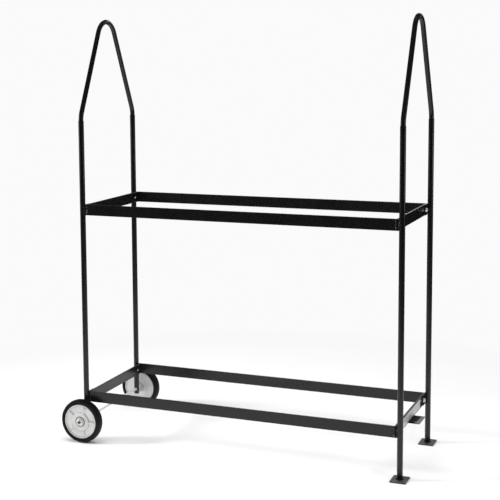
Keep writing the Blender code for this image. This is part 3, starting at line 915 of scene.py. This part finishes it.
low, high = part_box("lift_plate")
plate = rounded_box(
    "lift_plate_flat", (low.x - LIFT_GAP, low.y, low.z), high, LIFT_EDGE, COAT_LIFT,
    "black_coat_plate", ["lift_plate"],
)
even_shading(plate)
ends = (low.y + LIFT_BEAD_SHORT, high.y - LIFT_BEAD_SHORT)
line = [(low.x + LIFT_BEAD_IN, y, high.z + BEAD_RAISE) for y in ends]
bead("lift_plate_weld", line, LIFT_BEAD_R)

low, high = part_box("label_blank")
label = rounded_box(
    "label_blank_foil", low, high, LABEL_EDGE, LABEL_FOIL, "label", ["label_blank"],
    LABEL_CORNER, 0,
)
even_shading(label)

# ------------------------------------------------------------------ axle
low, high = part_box("axle")
half = (high.y - low.y) / 2
chamfer_in, chamfer_long = AXLE_CHAMFER
front_end = [
    (AXLE_TIP_R, -half), (AXLE_R - chamfer_in, -half), (AXLE_R, -half + chamfer_long),
]
rear_end = [(r, -y) for r, y in reversed(front_end)]
axle_profile = fillet(front_end + rear_end, 0.0004, closed=False, steps=3)
verts, faces = turned(axle_profile, TUBE_SEGS, "+Y", False)
axle = piece("axle_rod", verts, faces, AXLE_ZINC, ["axle"], place=axle_mid)
pins = [centre(f"cotter_pin_{side}") for side in SIDES]
drilled(axle, [((0, p.y - axle_mid.y, 0), "Z", PIN_HOLE_R, 0.03) for p in pins])


# ------------------------------------------------------------------ wheels
def rib(radius, height, turn):
    """Pressed ribs that fade into the ring and the rim."""
    if radius <= RIB_IN or radius >= RIB_OUT:
        return radius, height
    step = 2 * pi / RIB_COUNT
    away = abs((turn + step / 2) % step - step / 2)
    width = RIB_HALF * RIB_MIDDLE / radius
    if away >= width:
        return radius, height
    across = cos(away / width * pi / 2) ** 2
    run = (radius - RIB_IN) / (RIB_OUT - RIB_IN)
    fade = min(1.0, run / RIB_FADE, (1.0 - run) / RIB_FADE)
    return radius, height + RIB_LIFT * across * fade


def smooth_span(a, b, steps):
    """Points between two profile points, so that the ribs have something to bend."""
    return [
        (a[0] + (b[0] - a[0]) * k / steps, a[1] + (b[1] - a[1]) * k / steps)
        for k in range(1, steps)
    ]


def disc_profile(ribbed):
    """Pressed disc: rim lip, dished web and hub boss; the outer one has a raised middle."""
    rim_lip = [
        (RIM_R, RIM_FLOOR), (RIM_R, RIM_TOP - 0.0012), (RIM_R - 0.0014, RIM_TOP),
        (RIM_R - 0.0048, RIM_TOP - 0.0006),
    ]
    top = DISH + PLATEAU
    moat = DISH + MOAT_RISE
    raised = [
        (PLATEAU_FOOT, DISH), (PLATEAU_R, top), (BOSS_R + 0.0040, top), (BOSS_R + 0.0026, moat),
        (BOSS_R + 0.0010, moat),
    ]
    plain = [(BOSS_R + 0.0042, DISH)]
    boss = [(BOSS_R + 0.0002, BOSS_TOP - 0.0001), (HUB_R + 0.0003, BOSS_TOP)]
    web = [(RIB_OUT, DISH)] + (raised if ribbed else plain) + boss
    back = [(r, h - DISC_T) for r, h in reversed(web)]
    back += [(RIM_R - DISC_T, DISH), (RIM_R - DISC_T, RIM_FLOOR)]
    points = fillet(rim_lip + web + back, DISC_BEND, closed=True, steps=4)
    dense = []
    for k, point in enumerate(points):
        dense.append(point)
        after = points[(k + 1) % len(points)]
        if hypot(after[0] - point[0], after[1] - point[1]) > LONG_SPAN:
            dense += smooth_span(point, after, SPAN_STEPS)
    return dense


def tyre_profile(radius, half):
    """Solid rubber tyre: bead seat, side wall with a moulded ring, crowned tread."""
    side = [(r, half * share) for r, share in TYRE_WALL]
    side += [(radius - drop, half * share) for drop, share in TREAD_CROWN]
    other = [(r, -h) for r, h in reversed(side)]
    outline = side + [(radius, 0.0)] + other
    return fillet(list(reversed(outline)), TYRE_BEND, closed=True, steps=4)


def ring_piece(what, node, place, profile, segs, axis, mat, body, shape=None, sharp=32.0):
    """Turned piece in place of one CAD node; its profile's zero height is at `place`."""
    verts, faces = turned(profile, segs, axis, True, shape)
    return piece(f"{node}_{what}", verts, faces, mat, [node], body, place, sharp)


def spun_tube(node, r_in, r_out, edge):
    """Section of a plain tube or washer that is as long as its CAD node."""
    low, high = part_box(node)
    half = (high.y - low.y) / 2
    return fillet([(r_in, -half), (r_out, -half), (r_out, half), (r_in, half)], edge, steps=4)


def outside(node):
    low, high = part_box(node)
    return (high.z - low.z) / 2


for side, s in SIDES.items():
    body = f"{side}_wheel"
    outward = "-Y" if s < 0 else "+Y"
    inward = "+Y" if s < 0 else "-Y"
    tyre = f"wheel_tyre_{side}"
    low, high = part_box(tyre)
    hub = (low + high) / 2
    ring_piece(
        "rubber", tyre, hub, tyre_profile(outside(tyre), (high.y - low.y) / 2), 144, outward,
        WHEEL_RUBBER, body,
    )
    for layer, way, segs, shape in (("outer", outward, 180, rib), ("inner", inward, 120, None)):
        ring_piece(
            "pressing", f"wheel_disc_{layer}_{side}", hub, disc_profile(layer == "outer"), segs,
            way, WHEEL_SILVER, body, shape, 40.0,
        )
    sleeve = f"wheel_hub_sleeve_{side}"
    ring_piece(
        "steel", sleeve, hub, spun_tube(sleeve, HUB_BORE, HUB_R, 0.0006), 64, outward,
        WASHER_ZINC, body,
    )
    spacer = f"axle_spacer_{side}"
    section = spun_tube(spacer, AXLE_R + AXLE_PLAY, outside(spacer), 0.0004)
    ring_piece(
        "tube", spacer, centre(spacer), section, 48, outward, AXLE_ZINC, "frame",
    )
    washer = f"axle_washer_{side}"
    section = spun_tube(washer, AXLE_R + AXLE_PLAY, outside(washer), 0.0006)
    ring_piece(
        "stamping", washer, centre(washer), section, 64, outward, WASHER_ZINC, "frame",
    )


# ------------------------------------------------------------------ cotter pins
def pin_path(x, y, bottom, top, waist):
    """Centre line of the wire: up the long leg, round the eye, down the short leg."""
    gap = PIN_WIRE + PIN_GAP
    eye_z = top - PIN_EYE - PIN_WIRE
    throat = sqrt(PIN_EYE * PIN_EYE - gap * gap)
    neck_z = eye_z - throat - PIN_NECK
    path = [(x + out, y, bottom + up) for out, up in LONG_LEG]
    path += [(x - gap, y, z) for z in (bottom + LONG_LEG_TOP, waist, neck_z)]
    start = atan2(-throat, -gap)
    sweep = 2 * pi - 2 * atan2(gap, throat)
    for k in range(PIN_EYE_STEPS + 1):
        turn = start - sweep * k / PIN_EYE_STEPS
        path.append((x + PIN_EYE * cos(turn), y, eye_z + PIN_EYE * sin(turn)))
    path += [(x + gap, y, z) for z in (neck_z, waist, bottom + SHORT_LEG_TOP)]
    return path + [(x + out, y, bottom + up) for out, up in SHORT_LEG]


for side in SIDES:
    low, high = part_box(f"cotter_pin_{side}")
    path = pin_path(axle_mid.x, (low.y + high.y) / 2, low.z, high.z, axle_mid.z)
    last = len(path) - 1
    sections = [(0, 0.0, PIN_TIP_R), (0, PIN_TIP, PIN_WIRE * 0.8)]
    sections += [(i, 0.0, PIN_WIRE) for i in range(1, last)]
    sections += [(last, -PIN_TIP, PIN_WIRE * 0.8), (last, 0.0, PIN_TIP_R)]
    verts = swept(path, (0, 1, 0), sections, PIN_SEGS)
    faces = quads(len(sections), PIN_SEGS, False)
    faces.append(tuple(reversed(range(PIN_SEGS))))
    faces.append(tuple(range(len(verts) - PIN_SEGS, len(verts))))
    piece(
        f"cotter_pin_{side}_wire", verts, faces, WASHER_ZINC,
        [f"cotter_pin_{side}"], sharp=60.0,
    )


# ------------------------------------------------------------------ floor
def floor_paper(name):
    """Pale paper round the rack, dark farther out, where the coat would mirror it.

    The camera alone sees the paper fade into the white backdrop instead.
    """
    f = Finish(name)
    away = f.node("ShaderNodeVectorMath", operation="LENGTH")
    f.feed(away.inputs[0], f.place)
    distance = away.outputs["Value"]
    f.feed(f.shader.inputs["Base Color"], f.blend(f.spread(distance, *PAPER_SPAN), PAPER, PAPER_FAR))
    f.feed(f.shader.inputs["Roughness"], 0.9)
    f.feed(f.shader.inputs["Specular IOR Level"], 0.1)
    glow = f.node("ShaderNodeEmission")
    f.feed(glow.inputs["Color"], BACKDROP)
    seen = f.node("ShaderNodeLightPath").outputs["Is Camera Ray"]
    join = f.node("ShaderNodeMixShader")
    f.feed(join.inputs["Fac"], f.math("MULTIPLY", f.spread(distance, *WHITE_SPAN), seen))
    f.feed(join.inputs[1], f.shader.outputs["BSDF"])
    f.feed(join.inputs[2], glow.outputs["Emission"])
    f.feed(f.tree.nodes["Material Output"].inputs["Surface"], join.outputs["Shader"])
    return f.mat


floor_mesh = bpy.data.meshes.new("floor")
bm = bmesh.new()
bmesh.ops.create_grid(bm, x_segments=1, y_segments=1, size=FLOOR_HALF)
bm.to_mesh(floor_mesh)
bm.free()
floor_mesh.materials.append(floor_paper("floor_paper"))
floor = bpy.data.objects.new("floor", floor_mesh)
floor.location = (0, 0, -FLOOR_DROP)
bpy.context.scene.collection.objects.link(floor)


# ------------------------------------------------------------------ light
def studio_world():
    """Near-dark room for the metal to mirror, behind a backdrop that only the camera sees."""
    world = bpy.data.worlds.new("studio")
    world.use_nodes = True
    tree = world.node_tree
    room = tree.nodes["Background"]
    room.inputs["Color"].default_value = (*ROOM, 1.0)
    room.inputs["Strength"].default_value = ROOM_LIGHT
    white = tree.nodes.new("ShaderNodeBackground")
    white.inputs["Color"].default_value = (*BACKDROP, 1.0)
    seen = tree.nodes.new("ShaderNodeLightPath")
    join = tree.nodes.new("ShaderNodeMixShader")
    tree.links.new(seen.outputs["Is Camera Ray"], join.inputs["Fac"])
    tree.links.new(room.outputs["Background"], join.inputs[1])
    tree.links.new(white.outputs["Background"], join.inputs[2])
    tree.links.new(join.outputs["Shader"], tree.nodes["World Output"].inputs["Surface"])
    return world


def softbox(name, place, target, size, power, mirrored=True):
    """Rectangular lamp aimed at a point; one that isn't mirrored leaves no highlight."""
    light = bpy.data.lights.new(name, "AREA")
    light.shape = "RECTANGLE"
    light.size, light.size_y = size
    light.energy = power
    obj = bpy.data.objects.new(name, light)
    obj.location = place
    obj.rotation_mode = "QUATERNION"
    obj.rotation_quaternion = (Vector(target) - Vector(place)).to_track_quat("-Z", "Y")
    obj.visible_glossy = mirrored
    bpy.context.scene.collection.objects.link(obj)


bpy.context.scene.world = studio_world()
softbox("light_top", (0.2, -0.6, 4.2), (0.0, 0.0, 0.0), (6.0, 5.0), 250.0, False)
softbox("light_left", (-3.6, -1.4, 1.5), (0.0, 0.0, 0.4), (1.6, 1.6), 20.0)
softbox("light_right", (3.8, 0.4, 1.5), (0.0, 0.0, 0.4), (1.4, 1.6), 20.0)
softbox("light_back", (-0.4, 3.6, 2.6), (0.0, 0.0, 1.0), (3.0, 2.0), 30.0)
softbox("light_fill", (-5.4, -2.6, 2.8), (-0.6, 0.0, 0.3), (1.0, 1.0), 250.0, False)
softbox("light_foot_end", (4.6, -2.2, 1.8), (0.7, 0.0, 0.3), (1.6, 1.6), 45.0, False)

# ------------------------------------------------------------------ camera
level = Vector((cos(CAMERA_YAW), -sin(CAMERA_YAW), 0.0))
forward = Vector((sin(CAMERA_YAW), cos(CAMERA_YAW), 0.0))
ahead = cos(CAMERA_DIP) * forward - sin(CAMERA_DIP) * Vector((0.0, 0.0, 1.0))
down = ahead.cross(level)
right = cos(CAMERA_ROLL) * level + sin(CAMERA_ROLL) * down
below = cos(CAMERA_ROLL) * down - sin(CAMERA_ROLL) * level
camera_data = bpy.data.cameras.new("camera")
camera_data.sensor_width = CAMERA_SENSOR
camera_data.lens = CAMERA_LENS
camera_data.shift_x, camera_data.shift_y = CAMERA_SHIFT
camera_data.clip_start = 0.1
camera_data.clip_end = 200.0
camera = bpy.data.objects.new("camera", camera_data)
turn = Matrix((right, -below, -ahead)).transposed().to_4x4()
camera.matrix_world = Matrix.Translation(CAMERA_PLACE) @ turn
bpy.context.scene.collection.objects.link(camera)
bpy.context.scene.camera = camera

scene = bpy.context.scene
scene.view_settings.view_transform = "Standard"
scene.view_settings.look = "None"
scene.view_settings.exposure = 0.0
scene.view_settings.gamma = 1.0
